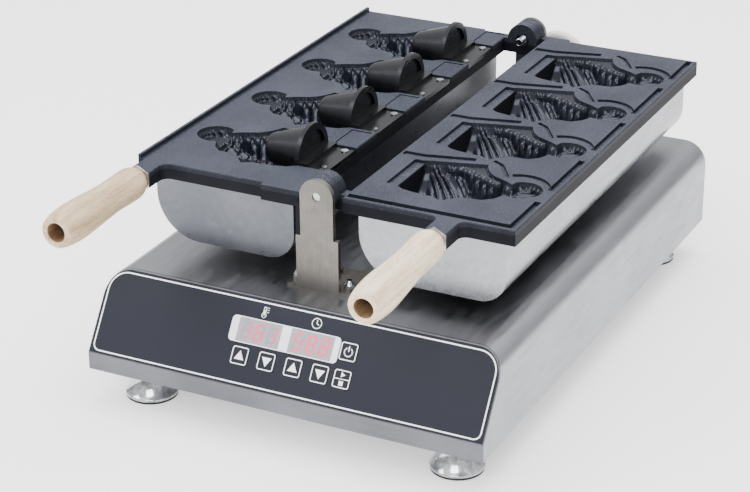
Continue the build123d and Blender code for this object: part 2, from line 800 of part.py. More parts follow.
def make_half_inside(side, label):
    """Heater box, heating element, insulation, probe, screws and gland of one half."""
    mid = side * (box_inner + box_outer) / 2
    gland_spot = (side * gland_x, plate_bottom + plate_thick - conduit_drop)
    with BuildPart() as heater_box:
        with BuildSketch(facing(box_front)):
            box_section(side, 0, plate_bottom)
        extrude(amount=-box_length)
        with BuildSketch(facing(box_front + box_wall)):
            box_section(side, box_wall, plate_bottom)
        extrude(amount=-(box_length - 2 * box_wall), mode=Mode.SUBTRACT)
        with BuildSketch(Plane.XY.offset(box_bottom)):
            with Locations(*box_screw_places(side)):
                Circle(box_screw_radius + bolt_clearance)
        extrude(amount=box_wall, mode=Mode.SUBTRACT)
        with BuildSketch(facing(box_back)):
            with Locations(gland_spot):
                Circle(gland_radius - 2)
        extrude(amount=box_wall, mode=Mode.SUBTRACT)
    save(heater_box, f"{label}_heater_box")

    with BuildPart() as element:
        leg_back = block_back - 20
        leg_front = plate_front + block_margin + 20 + element_spread / 2
        left_x = mid - element_spread / 2
        right_x = mid + element_spread / 2
        with BuildLine(Plane.XY.offset(element_height)):
            Line((left_x, leg_back), (left_x, leg_front))
            ThreePointArc((left_x, leg_front), (mid, leg_front - element_spread / 2), (right_x, leg_front))
            Line((right_x, leg_front), (right_x, leg_back))
        with BuildSketch(facing(leg_back)):
            with Locations((left_x, element_height)):
                Circle(element_radius)
        sweep()
    save(element, f"{label}_heating_element")

    with BuildPart() as pad:
        with BuildSketch(facing(box_front + box_wall + 1)):
            box_section(side, box_wall + pad_fit, plate_bottom)
        extrude(amount=-(box_length - 2 * box_wall - 2))
        split(bisect_by=Plane.XY.offset(pad_top), keep=Keep.BOTTOM)
        with BuildSketch(Plane.XY.offset(box_bottom)):
            with Locations(*box_screw_places(side)):
                Circle(box_screw_radius + 0.5)
        extrude(amount=pad_top - box_bottom, mode=Mode.SUBTRACT)
    save(pad, f"{label}_insulation_pad")

    with BuildPart() as probe:
        with BuildSketch(facing(block_back + probe_length - probe_depth - 0.4)):
            with Locations((side * probe_x, probe_height)):
                Circle(probe_radius)
        extrude(amount=probe_length - 0.8)
    save(probe, f"{label}_temperature_probe")

    with BuildPart() as box_screws:
        with BuildSketch(Plane.XY.offset(box_bottom - 2.4)):
            with Locations(*box_screw_places(side)):
                Circle(3.8)
        extrude(amount=2.4)
        with BuildSketch(Plane.XY.offset(box_bottom)):
            with Locations(*box_screw_places(side)):
                Circle(box_screw_radius - 0.05)
        extrude(amount=block_bottom + screw_hold - 0.5 - box_bottom)
    save(box_screws, f"{label}_box_screws")

    with BuildPart() as gland:
        with BuildSketch(facing(box_back)):
            with Locations(gland_spot):
                RegularPolygon(gland_radius + 1, 6)
        extrude(amount=-gland_length)
        with BuildSketch(facing(box_back)):
            with Locations(gland_spot):
                Circle(gland_radius - 2.1)
        extrude(amount=box_wall + 3)
    save(gland, f"{label}_conduit_gland")


make_half_inside(-1, "left")
make_half_inside(1, "right")


# ---------------------------------------------------------------- handles
def make_handle(label, plane):
    """Stud, ferrule, turned wooden grip and nut, along the given plane's normal."""
    wood_start = plane.offset(ferrule_thick)
    bore_floor = handle_length - handle_bore_depth
    stud_length = ferrule_thick + bore_floor + nut_thick + 3
    with BuildPart() as stud:
        with BuildSketch(plane.offset(-stud_grip + 0.5)):
            Circle(stud_radius)
        extrude(amount=stud_length + stud_grip - 0.5)
    save(stud, f"{label}_handle_stud")

    with BuildPart() as ferrule:
        with BuildSketch(plane.offset(0.1)):
            Circle(ferrule_radius)
            Circle(stud_radius + stud_clearance, mode=Mode.SUBTRACT)
        extrude(amount=ferrule_thick - 0.1)
    save(ferrule, f"{label}_handle_ferrule")

    side_plane = Plane(origin=wood_start.origin, x_dir=wood_start.z_dir, z_dir=wood_start.x_dir)
    with BuildPart() as grip:
        with BuildSketch(side_plane):
            with BuildLine() as wood_profile:
                Polyline(
                    (bore_floor, handle_bore_radius),
                    (bore_floor, stud_radius + stud_clearance),
                    (0, stud_radius + stud_clearance),
                    (0, ferrule_radius + 0.5),
                )
                Spline(
                    (0, ferrule_radius + 0.5),
                    (4.5, handle_bulb_radius - 1.0),
                    (13.0, handle_bulb_radius),
                    (0.33 * handle_length, handle_waist_radius),
                    (0.76 * handle_length, handle_radius),
                    (0.92 * handle_length, handle_radius - 1.3),
                    (handle_length, handle_end_radius),
                )
                Polyline(
                    (handle_length, handle_end_radius),
                    (handle_length, handle_bore_radius),
                    (bore_floor, handle_bore_radius),
                )
            make_face(wood_profile.edges())
        revolve(axis=Axis(wood_start.origin, wood_start.z_dir))
    save(grip, f"{label}_wooden_handle")

    with BuildPart() as nut:
        with BuildSketch(wood_start.offset(bore_floor)):
            RegularPolygon(nut_radius, 6)
            Circle(stud_radius + pin_fit, mode=Mode.SUBTRACT)
        extrude(amount=nut_thick)
    save(nut, f"{label}_handle_nut")


make_handle("left", left_stud_plane)
make_handle("right", right_stud_plane)

# ---------------------------------------------------------------- control panel
with BuildPart() as control_overlay:
    with BuildSketch(slope_face):
        with Locations((0, slope_length / 2)):
            Rectangle(base_width, slope_length - 2 * overlay_inset)
        with Locations((window_x, window_v)):
            RectangleRounded(
                window_width + 2 * window_clearance,
                window_height + 2 * window_clearance,
                window_bend,
                mode=Mode.SUBTRACT,
            )
        with Locations(*key_places.values()):
            RectangleRounded(
                key_width + 2 * key_clearance, key_width + 2 * key_clearance, key_bend, mode=Mode.SUBTRACT
            )
    extrude(amount=overlay_thick)
    with BuildSketch(facing(front - 10)):
        housing_section(overlay_inset)
    extrude(amount=-base_length, mode=Mode.INTERSECT)
save(control_overlay, "control_overlay")

display_places = [
    (window_x - display_spacing / 2 + display_offset, window_v),
    (window_x + display_spacing / 2 + display_offset, window_v),
]
with BuildPart() as display_bezel:
    with BuildSketch(slope_seat):
        with Locations((window_x, window_v)):
            RectangleRounded(window_width, window_height, window_bend)
        with Locations(*display_places):
            Rectangle(display_width + 0.2, display_height + 0.2, mode=Mode.SUBTRACT)
    extrude(amount=panel_sheet + overlay_thick + bezel_proud)
save(display_bezel, "display_bezel")

for name, place in zip(("temperature_display", "timer_display"), display_places):
    with BuildPart() as display:
        with BuildSketch(board_face):
            with Locations(place):
                Rectangle(display_width, display_height)
        extrude(amount=board_gap + panel_sheet + overlay_thick)
    save(display, name)

with BuildPart() as control_board:
    with BuildSketch(board_face):
        with Locations((board_x, board_v)):
            Rectangle(board_width, board_height)
    extrude(amount=-board_thick)
save(control_board, "control_board")

with BuildPart() as key_switches:
    with BuildSketch(board_face):
        with Locations(*key_places.values()):
            Rectangle(6.2, 6.2)
    extrude(amount=board_gap - 4.0)
    with BuildSketch(board_face):
        with Locations(*key_places.values()):
            Circle(1.8)
    extrude(amount=board_gap - key_travel - 0.1)
save(key_switches, "key_switches")

for name, place in key_places.items():
    with BuildPart() as key:
        with BuildSketch(slope_seat):
            with Locations(place):
                RectangleRounded(key_width, key_width, key_bend)
        extrude(amount=panel_sheet + overlay_thick + key_proud)
        chamfer(key.faces().sort_by(slope_axis)[-1].edges(), key_chamfer)
    save(key, name)

# ---------------------------------------------------------------- electrics in the base
with BuildPart() as cord_inlet:
    with BuildSketch(facing(back)):
        with Locations(inlet_spot):
            RegularPolygon(inlet_radius + 3, 6)
            Circle(4.2, mode=Mode.SUBTRACT)
    extrude(amount=-9)
    with BuildSketch(facing(back)):
        with Locations(inlet_spot):
            Circle(inlet_radius - 0.1)
            Circle(4.2, mode=Mode.SUBTRACT)
    extrude(amount=sheet + 12)
save(cord_inlet, "cord_inlet")

with BuildPart() as terminal_block:
    with BuildSketch(Plane.XY.offset(base_bottom + sheet)):
        with Locations((electrics_x, back - 70)):
            Rectangle(56, 22)
    extrude(amount=18)
    with BuildSketch(Plane.XY.offset(base_bottom + sheet + 18)):
        with Locations((electrics_x, back - 70)):
            with GridLocations(10, 11, 5, 2):
                Rectangle(7, 5)
    extrude(amount=-7, mode=Mode.SUBTRACT)
save(terminal_block, "terminal_block")

with BuildPart() as power_relays:
    with BuildSketch(Plane.XY.offset(base_bottom + sheet)):
        with Locations((electrics_x, back - 170)):
            with GridLocations(0.001, 70, 1, 2):
                Rectangle(45, 58)
    extrude(amount=24)
    with BuildSketch(Plane.XY.offset(base_bottom + sheet + 24)):
        with Locations((electrics_x, back - 170)):
            with GridLocations(30, 24, 2, 1):
                Circle(3)
    extrude(amount=-4, mode=Mode.SUBTRACT)
save(power_relays, "power_relays")

with BuildPart() as base_conduit_glands:
    with BuildSketch(facing(back)):
        with Locations(*gland_spots.values()):
            RegularPolygon(gland_radius + 1, 6)
    extrude(amount=-gland_length)
    with BuildSketch(facing(back)):
        with Locations(*gland_spots.values()):
            Circle(gland_radius - 2.1)
    extrude(amount=sheet + 3)
save(base_conduit_glands, "base_conduit_glands")


# ---------------------------------------------------------------- heater conduits
def make_conduit(name, points):
    """Sleeved heater lead from the base to a moving half, along tangent arcs."""
    runs = [(Vector(*b) - Vector(*a)).length for a, b in zip(points, points[1:])]
    radii = []
    for a, b, c, run_in, run_out in zip(points, points[1:], points[2:], runs, runs[1:]):
        turn = (Vector(*b) - Vector(*a)).get_angle(Vector(*c) - Vector(*b))
        radii.append(0.45 * min(run_in, run_out) / tan(radians(turn / 2)))
    with BuildPart() as conduit:
        with BuildLine() as route:
            FilletPolyline(*points, radius=radii)
        with BuildSketch(Plane(origin=points[0], z_dir=(0, 1, 0))):
            Circle(conduit_radius)
        sweep()
    run_length = sum(edge.length for edge in route.edges())
    ratio = conduit.part.volume / (pi * conduit_radius**2 * run_length)
    print(name, "radii", [round(r, 1) for r in radii], "volume ratio", round(ratio, 4))
    save(conduit, name)


half_gland_height = parting - conduit_drop
base_gland_y = back + gland_length
half_gland_y = box_back + gland_length
bulge_y = back + conduit_bulge - conduit_radius
make_conduit(
    "right_conduit",
    [
        (gland_spots["right"][0], base_gland_y, gland_spots["right"][1]),
        (gland_spots["right"][0], bulge_y - 3, gland_spots["right"][1]),
        (-14.0, bulge_y, 126.0),
        (-6.0, bulge_y, 170.0),
        (8.0, bulge_y - 6, 208.0),
        (34.0, bulge_y - 8, 210.0),
        (56.0, bulge_y - 6, 188.0),
        (gland_x, back + 8, half_gland_height),
        (gland_x, half_gland_y, half_gland_height),
    ],
)
make_conduit(
    "left_conduit",
    [
        (gland_spots["left"][0], base_gland_y, gland_spots["left"][1]),
        (gland_spots["left"][0], bulge_y - 3, gland_spots["left"][1]),
        (-58.0, bulge_y, 126.0),
        (-68.0, bulge_y - 6, 154.0),
        (-gland_x, back + 8, half_gland_height),
        (-gland_x, half_gland_y, half_gland_height),
    ],
)
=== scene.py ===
import json
from math import atan2, cos, hypot, pi, radians, sin, tan

import bpy
import numpy as np
from mathutils import Matrix, Vector


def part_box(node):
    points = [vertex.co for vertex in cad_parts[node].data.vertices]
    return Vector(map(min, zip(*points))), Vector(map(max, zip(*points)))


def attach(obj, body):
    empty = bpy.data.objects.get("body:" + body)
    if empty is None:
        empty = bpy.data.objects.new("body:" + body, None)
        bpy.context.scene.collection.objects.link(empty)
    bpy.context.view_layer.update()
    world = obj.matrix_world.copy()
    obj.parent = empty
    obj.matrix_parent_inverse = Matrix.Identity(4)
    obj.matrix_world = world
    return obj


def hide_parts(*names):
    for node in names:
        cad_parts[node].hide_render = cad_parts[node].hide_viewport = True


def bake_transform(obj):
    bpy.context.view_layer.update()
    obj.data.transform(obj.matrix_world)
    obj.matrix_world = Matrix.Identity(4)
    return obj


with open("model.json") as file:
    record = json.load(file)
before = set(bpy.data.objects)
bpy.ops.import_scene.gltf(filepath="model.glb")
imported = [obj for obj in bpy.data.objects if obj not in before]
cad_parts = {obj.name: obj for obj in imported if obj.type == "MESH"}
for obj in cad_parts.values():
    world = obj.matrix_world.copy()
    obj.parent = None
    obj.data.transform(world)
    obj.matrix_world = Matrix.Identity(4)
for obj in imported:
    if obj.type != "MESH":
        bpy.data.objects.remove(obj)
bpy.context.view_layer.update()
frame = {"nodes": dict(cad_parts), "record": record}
nodes = frame["nodes"]
mm = 0.001

# ---------------------------------------------------------------- places read from the frame
panel_low, panel_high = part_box("front_panel")
pin_low, pin_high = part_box("front_hinge_pin")
front_y = panel_low.y
back_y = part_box("base_housing")[1].y
base_bottom = panel_low.z
base_top = panel_high.z
parting_drop = 0.4 * mm
parting_z = (pin_low.z + pin_high.z) / 2 - parting_drop
first_cavity, cavity_pitch = 168, 104.8
cavity_rows = [front_y + (first_cavity + cavity_pitch * i) * mm for i in range(4)]

# the panel's upright strip, its slope and what lies on it
strip_height = 17 * mm
slope_setback = 47 * mm
slope_angle = atan2(base_top - base_bottom - strip_height, slope_setback)
overlay_thick = 0.8 * mm
key_face = overlay_thick + 0.4 * mm
ink = 0.06 * mm


# ---------------------------------------------------------------- camera and lights
def aim(thing, target):
    """Turns a light so that it shines at the target."""
    thing.rotation_euler = (Vector(target) - thing.location).to_track_quat("-Z", "Y").to_euler()


def add_camera():
    """The photograph's viewpoint, solved from the straight edges of the base and the moulds."""
    data = bpy.data.cameras.new("photo_camera")
    data.sensor_width = 36
    data.lens = 107.43
    data.clip_start = 0.05
    camera = bpy.data.objects.new("photo_camera", data)
    bpy.context.scene.collection.objects.link(camera)
    viewpoint = (0.8684, front_y - 1.5248, 1.0052)
    yaw, pitch, roll = radians(26.80), radians(-24.70), radians(0.43)
    turn = (
        Matrix.Rotation(yaw, 4, "Z")
        @ Matrix.Rotation(pi / 2 + pitch, 4, "X")
        @ Matrix.Rotation(-roll, 4, "Z")
    )
    camera.matrix_world = Matrix.Translation(viewpoint) @ turn
    bpy.context.scene.camera = camera


def add_softbox(name, place, target, width, height, power):
    """One rectangular studio light."""
    data = bpy.data.lights.new(name, "AREA")
    data.shape = "RECTANGLE"
    data.size = width
    data.size_y = height
    data.energy = power
    light = bpy.data.objects.new(name, data)
    bpy.context.scene.collection.objects.link(light)
    light.location = place
    aim(light, target)


# ---------------------------------------------------------------- how a material is made
def srgb(hex_code):
    """Linear colour with alpha from an sRGB hex value."""
    channels = [int(hex_code[i : i + 2], 16) / 255 for i in (1, 3, 5)]
    return [c / 12.92 if c <= 0.04045 else ((c + 0.055) / 1.055) ** 2.4 for c in channels] + [1.0]


def feed(tree, node, inputs):
    """Sets a node's inputs: each is a value, an output, or another node for its first output."""
    for socket, value in inputs.items():
        if isinstance(value, bpy.types.Node):
            value = value.outputs[0]
        if isinstance(value, bpy.types.NodeSocket):
            tree.links.new(value, node.inputs[socket])
        else:
            node.inputs[socket].default_value = value


def add_node(tree, kind, inputs=None, stops=(), **settings):
    """Adds a shader node with its settings, its links and, on a colour ramp, its (position, hex) stops."""
    node = tree.nodes.new(f"ShaderNode{kind}")
    for name, value in settings.items():
        setattr(node, name, value)
    for number, (position, hex_code) in enumerate(stops):
        node.color_ramp.elements[number].position = position
        node.color_ramp.elements[number].color = srgb(hex_code)
    feed(tree, node, inputs or {})
    return node


def new_material(name, surface, patterns=()):
    """A material with its shader's plain values and its grainy patterns. A pattern gives its grains'
    real sizes along X, Y and Z of the object in millimetres, then its detail and its roughness."""
    material = bpy.data.materials.new(name)
    material.use_nodes = True
    tree = material.node_tree
    shader = tree.nodes["Principled BSDF"]
    feed(tree, shader, surface)
    place = add_node(tree, "TexCoord").outputs["Object"]
    made = []
    for sizes, detail, roughness in patterns:
        grid = add_node(tree, "Mapping", {"Vector": place, "Scale": [1 / (s * mm) for s in sizes]})
        noise = {"Vector": grid, "Scale": 1.0, "Detail": detail, "Roughness": roughness}
        made.append(add_node(tree, "TexNoise", noise))
    return material, tree, shader, made


# ---------------------------------------------------------------- the finishes
def brushed_stainless(name, light, dark, roughness, brushing):
    """Cold-rolled stainless sheet: soft gloss, faint clouds, a few rub marks, and brush lines that
    are drawn coarser than the real ones, so that they show."""
    material, tree, shader, (lines, clouds, rubs) = new_material(
        name,
        {"Metallic": 1.0, "Roughness": roughness},
        [(brushing, 3.0, 0.55), ((120, 160, 120), 2.0, 0.55), ((7, 34, 7), 5.0, 0.55)],
    )
    tone = add_node(tree, "ValToRGB", {"Fac": clouds}, stops=[(0.35, dark), (0.65, light)])
    streaks = add_node(tree, "ValToRGB", {"Fac": lines}, stops=[(0.3, "#6f7074"), (0.7, "#ffffff")])
    streaked = add_node(
        tree, "Mix", {"Factor": 0.18, 6: tone, 7: streaks}, data_type="RGBA", blend_type="MULTIPLY"
    )
    low, high = roughness - 0.05, roughness + 0.1
    gloss = {"Value": rubs, "From Min": 0.3, "From Max": 0.7, "To Min": low, "To Max": high}
    feed(tree, shader, {
        "Base Color": streaked.outputs[2],
        "Roughness": add_node(tree, "MapRange", gloss),
        "Normal": add_node(tree, "Bump", {"Height": lines, "Distance": 0.015 * mm, "Strength": 0.3}),
    })
    return material


def polished_steel(name, colour, shade, roughness):
    """Turned and polished steel: near mirror, with faint wear."""
    material, tree, shader, (wear,) = new_material(
        name, {"Metallic": 1.0, "Roughness": roughness}, [((6, 6, 6), 4.0, 0.55)]
    )
    gloss = {"Value": wear, "To Min": roughness - 0.04, "To Max": roughness + 0.12}
    feed(tree, shader, {
        "Base Color": add_node(tree, "ValToRGB", {"Fac": wear}, stops=[(0.35, shade), (0.65, colour)]),
        "Roughness": add_node(tree, "MapRange", gloss),
    })
    return material


def painted_light_share(tree, lowest):
    """The share of the painted light: one on level faces above a height of the object, 0.3 on walls there,
    and nought below it.
    """
    place = add_node(tree, "TexCoord").outputs["Object"]
    height = add_node(tree, "SeparateXYZ", {"Vector": place}).outputs["Z"]
    facing = add_node(tree, "NewGeometry").outputs["Normal"]
    upward = add_node(tree, "SeparateXYZ", {"Vector": facing}).outputs["Z"]
    by_slope = {"Value": upward, "From Min": 0.6, "From Max": 0.9, "To Min": 0.3, "To Max": 1.0}
    by_height = {"Value": height, "From Min": lowest - 0.3 * mm, "From Max": lowest}
    shares = {0: add_node(tree, "MapRange", by_slope), 1: add_node(tree, "MapRange", by_height)}
    return add_node(tree, "Math", shares, operation="MULTIPLY")


def coated_casting(name, lit_top_pale, lit_top_dark, shaded_side_pale, shaded_side_dark):
    """Cast aluminium under a baked non-stick coat, with a sparkle of pigment on its level top, drawn
    coarser than life so that it shows. Its level top is painted grey, a painted sheen of the light from
    above, and its drafted walls and all below are painted near black as painted shade, the upper walls with
    0.3 of the sheen."""
    surface = {"Metallic": 0.0, "Roughness": 0.5, "IOR": 1.45}
    surface |= {"Specular IOR Level": 0.2, "Specular Tint": srgb("#d6d8ee")}
    material, tree, shader, (stains, sparkle, peel) = new_material(
        name,
        surface,
        [((46, 60, 46), 5.0, 0.55), ((0.9, 0.9, 0.9), 1.0, 0.55), ((1.1, 1.1, 1.1), 4.0, 0.55)],
    )
    lit_top_share = painted_light_share(tree, parting_z - 4.5 * mm)
    # painted light and shade: a lit grey copy of the coat for the top, a shaded near-black copy for the walls
    # and below
    top = add_node(tree, "ValToRGB", {"Fac": stains}, stops=[(0.35, lit_top_dark), (0.65, lit_top_pale)])
    side = add_node(tree, "ValToRGB", {"Fac": stains}, stops=[(0.35, shaded_side_dark), (0.65, shaded_side_pale)])
    pigment = add_node(tree, "ValToRGB", {"Fac": peel}, stops=[(0.35, "#62656f"), (0.65, "#8a8d98")])
    share = {"Value": sparkle, "From Min": 0.58, "From Max": 0.72, "To Min": 0.0, "To Max": 0.75}
    in_flecks = add_node(tree, "MapRange", share)
    flecked = add_node(tree, "Mix", {"Factor": in_flecks, 6: top, 7: pigment}, data_type="RGBA")
    sides = {"Factor": lit_top_share, 6: side, 7: flecked.outputs[2]}
    feed(tree, shader, {
        "Base Color": add_node(tree, "Mix", sides, data_type="RGBA").outputs[2],
        "Roughness": add_node(tree, "MapRange", {"Value": lit_top_share, "To Min": 0.62, "To Max": 0.55}),
        "Normal": add_node(tree, "Bump", {"Height": peel, "Distance": 0.1 * mm, "Strength": 0.45}),
    })
    return material


def glossy_coat(name, pale, dark, roughness):
    """Non-stick coat on smooth aluminium: black and glossy, with a faint orange peel."""
    surface = {"Metallic": 0.0, "Roughness": roughness, "IOR": 1.45}
    surface |= {"Specular IOR Level": 0.4, "Specular Tint": srgb("#dcdff2")}
    material, tree, shader, (peel, stains) = new_material(
        name, surface, [((1.6, 1.6, 1.6), 3.0, 0.55), ((14, 14, 14), 5.0, 0.55)]
    )
    gloss = {"Value": stains, "To Min": roughness - 0.05, "To Max": roughness + 0.1}
    feed(tree, shader, {
        "Base Color": add_node(tree, "ValToRGB", {"Fac": stains}, stops=[(0.35, dark), (0.65, pale)]),
        "Roughness": add_node(tree, "MapRange", gloss),
        "Normal": add_node(tree, "Bump", {"Height": peel, "Distance": 0.06 * mm, "Strength": 0.4}),
    })
    return material


def turned_beech(name, pale, dark, fleck):
    """Turned beech, sanded and waxed: long figure along the handle, short darker flecks, and pores
    that are drawn wider than the real ones, so that they show."""
    material, tree, shader, (figure, flecks, pores) = new_material(
        name,
        {"Metallic": 0.0, "Roughness": 0.48, "IOR": 1.48},
        [((5.5, 95, 5.5), 6.0, 0.62), ((0.6, 5.5, 0.6), 2.0, 0.55), ((0.35, 9, 0.35), 3.0, 0.55)],
    )
    tone = add_node(tree, "ValToRGB", {"Fac": figure}, stops=[(0.36, dark), (0.6, pale)])
    fleck_tone = add_node(tree, "ValToRGB", {"Fac": flecks}, stops=[(0.3, fleck), (0.42, "#ffffff")])
    with_flecks = add_node(
        tree, "Mix", {"Factor": 0.6, 6: tone, 7: fleck_tone}, data_type="RGBA", blend_type="MULTIPLY"
    )
    feed(tree, shader, {
        "Base Color": with_flecks.outputs[2],
        "Roughness": add_node(tree, "MapRange", {"Value": figure, "To Min": 0.42, "To Max": 0.6}),
        "Normal": add_node(tree, "Bump", {"Height": pores, "Distance": 0.12 * mm, "Strength": 0.4}),
    })
    return material


def plastic(name, low, high, roughness, grit, depth, gloss=0.5):
    """Moulded or printed plastic, ink, rubber, sleeving or wool: even in colour, with a grit of the
    given size and depth in millimetres."""
    material, tree, shader, (pattern,) = new_material(
        name,
        {"Metallic": 0.0, "Roughness": roughness, "IOR": 1.5, "Specular IOR Level": gloss},
        [((grit, grit, grit), 3.0, 0.55)],
    )
    feed(tree, shader, {
        "Base Color": add_node(tree, "ValToRGB", {"Fac": pattern}, stops=[(0.35, low), (0.65, high)]),
        "Normal": add_node(tree, "Bump", {"Height": pattern, "Distance": depth * mm, "Strength": 0.4}),
    })
    return material


# a brush line's size along X, Y and Z in millimetres, on sheet, plate and rod
along_depth, along_width, along_height = (0.6, 70, 0.6), (70, 0.6, 0.6), (0.8, 0.8, 20)
along_rod = (1, 20, 1)


def make_materials():
    """One material for each material slot of the record."""
    return {
        # brushed sheet: mid grey and satin
        "stainless_sheet": brushed_stainless(
            "brushed_stainless_sheet", "#9fa0a5", "#919297", roughness=0.33, brushing=along_depth
        ),
        # the boxes' sheet: brighter, with a sharper gloss
        "heater_box_steel": brushed_stainless(
            "brushed_stainless_box", "#a5a6aa", "#939498", roughness=0.26, brushing=along_depth
        ),
        # blasted plate: warm dark grey, nearly matt
        "post_steel": brushed_stainless(
            "blasted_steel_plate", "#7c7974", "#6d6a65", roughness=0.42, brushing=along_height
        ),
        # polished steel: a bright mirror
        "bright_steel": polished_steel("polished_steel", "#cfd0d3", "#98999d", roughness=0.08),
        # rough casting under its coat: painted dark blue-grey on top as a painted sheen of light, painted
        # near black on its walls as painted shade
        "coated_casting": coated_casting("non_stick_casting", "#333640", "#282b34", "#111216", "#0a0b0d"),
        # turned core under the same coat: plain black with a soft gloss
        "coated_core": glossy_coat("non_stick_core", "#0f1011", "#090a0b", roughness=0.26),
        # polyester film, printed from behind: blue-black with hardly a gloss
        "overlay_film": plastic(
            "printed_polyester_film", "#181a23", "#1f212b", roughness=0.45, grit=0.5, depth=0.05, gloss=0.2
        ),
        # lacquered ABS: pale silver and smooth
        "bezel_plastic": plastic(
            "silver_lacquered_abs", "#e6e7ef", "#f3f4fa", roughness=0.3, grit=0.8, depth=0.01
        ),
        # tinted acrylic window: mauve grey and glassy
        "display_window": plastic(
            "tinted_display_window", "#958e97", "#a29ba4", roughness=0.2, grit=2.0, depth=0.01
        ),
        # the keys' film: as the overlay, a little glossier
        "key_plastic": plastic(
            "keypad_polyester", "#181a23", "#1f212b", roughness=0.4, grit=0.5, depth=0.05, gloss=0.2
        ),
        # solder resist on a board: deep green and smooth
        "circuit_board": plastic("solder_resist", "#0f4a26", "#15602f", roughness=0.4, grit=1.5, depth=0.03),
        # moulded nylon: charcoal and satin
        "black_plastic": plastic("moulded_nylon", "#17181a", "#232427", roughness=0.5, grit=0.8, depth=0.05),
        # moulded rubber: charcoal and matt
        "black_rubber": plastic("moulded_rubber", "#141416", "#1e1f21", roughness=0.75, grit=1.2, depth=0.08),
        # braided glass-fibre sleeve: cream, matt and rough
        "glass_sleeve": plastic(
            "braided_glass_sleeve", "#cfcbc3", "#e9e6df", roughness=0.7, grit=1.2, depth=0.4
        ),
        # waxed beech: pale straw with fine flecks
        "beech": turned_beech("waxed_beech", "#e9d9c0", "#cfb594", "#b4977a"),
        # ceramic wool: white, matt and fluffy
        "ceramic_wool": plastic("ceramic_wool", "#d8d6d0", "#f0eee8", roughness=0.9, grit=2.0, depth=0.6),
        # heated and oxidised steel sheath: brown grey and dull
        "element_sheath": brushed_stainless(
            "oxidised_sheath", "#77736d", "#5d5a55", roughness=0.5, brushing=along_rod
        ),
    }


materials = make_materials()
# the left box and the front panel are duller in the photograph than the rest of their sheet, so they get
# darker copies of it as painted shade; the front panel is also brushed along its width
painted_shade_finishes = {
    "left_heater_box": brushed_stainless(
        "brushed_stainless_box_painted_shade", "#6c6e74", "#5d5f65", roughness=0.3, brushing=along_depth
    ),
    "front_panel": brushed_stainless(
        "brushed_stainless_front_painted_shade", "#73747a", "#65666b", roughness=0.36, brushing=along_width
    ),
}
for subpart in frame["record"]["subparts"]:
    node = nodes[subpart["node"]]
    node.data.materials.clear()
    node.data.materials.append(painted_shade_finishes.get(subpart["node"], materials[subpart["material_slot"]]))

# screen ink is plain white; a figure's segments are mauve when dark and pink when lit
white_ink = plastic("white_screen_ink", "#fafafc", "#ffffff", roughness=0.5, grit=0.6, depth=0.01)
dark_segment = plastic("unlit_segment", "#8a838d", "#928b95", roughness=0.4, grit=0.8, depth=0.01)
lit_segment = plastic("lit_segment", "#e0566f", "#e8647c", roughness=0.4, grit=0.8, depth=0.01)
# the coat in the hollows is smoother and glossier than on the ground top
relief_coat = glossy_coat("non_stick_hollow", "#181b24", "#0d0f15", roughness=0.13)
# a bore's wood is painted dark brown, a painted shade deep in the bore; the left grip is darker than the
# right one
bore_shade_wood = turned_beech("bore_shade_beech", "#8f7355", "#705640", "#5c4633")
darker_grip_wood = turned_beech("darker_grip_beech", "#cfb999", "#ae9170", "#917659")


# ---------------------------------------------------------------- shaping
def deselect():
    """Leaves nothing selected and no mode open, before a new piece is started."""
    if bpy.context.object and bpy.context.object.mode != "OBJECT":
        bpy.ops.object.mode_set(mode="OBJECT")
    bpy.ops.object.select_all(action="DESELECT")
    bpy.context.tool_settings.mesh_select_mode = (True, False, False)


def apply_place():
    """Puts the selected object's place, turn and scale into its mesh."""
    bpy.ops.object.transform_apply(location=True, rotation=True, scale=True)


def join(made):
    """Makes one object of several."""
    for piece in made:
        piece.select_set(True)
    bpy.context.view_layer.objects.active = made[0]
    bpy.ops.object.join()
    return bpy.context.object


def finish_piece(piece, name, material, body, place=None):
    """Names a piece, moves it to its place in its mesh, gives it its material and hands it to its body."""
    if piece.mode != "OBJECT":
        bpy.ops.object.mode_set(mode="OBJECT")
    piece.name = name
    piece.data.name = name
    if place is not None:
        piece.matrix_world = place @ piece.matrix_world
    apply_place()
    piece.data.materials.clear()
    piece.data.materials.append(material)
    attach(piece, body)
    deselect()
    return piece


def turned(rings, vertices, smoothing, angle):
    """A lathe form along +Z from (height, radius) rings in millimetres, closed on itself."""
    deselect()
    height, radius = rings[0]
    bpy.ops.mesh.primitive_circle_add(vertices=vertices, radius=radius * mm, location=(0, 0, height * mm))
    piece = bpy.context.object
    apply_place()
    bpy.ops.object.mode_set(mode="EDIT")
    bpy.ops.mesh.select_all(action="SELECT")
    for next_height, next_radius in rings[1:] + rings[:1]:
        rise = (0, 0, (next_height - height) * mm)
        bpy.ops.mesh.extrude_region_move(TRANSFORM_OT_translate={"value": rise})
        factor = next_radius / radius
        bpy.ops.transform.resize(value=(factor, factor, 1), center_override=(0, 0, next_height * mm))
        height, radius = next_height, next_radius
    bpy.ops.mesh.select_all(action="SELECT")
    bpy.ops.mesh.remove_doubles(threshold=0.01 * mm)
    bpy.ops.mesh.normals_make_consistent(inside=False)
    bpy.ops.object.mode_set(mode="OBJECT")
    bpy.ops.object.shade_smooth_by_angle(angle=radians(angle))
    if smoothing:
        soft = piece.modifiers.new("rounding", "SUBSURF")
        soft.levels = soft.render_levels = smoothing
        bpy.ops.object.modifier_apply(modifier=soft.name)
    return piece


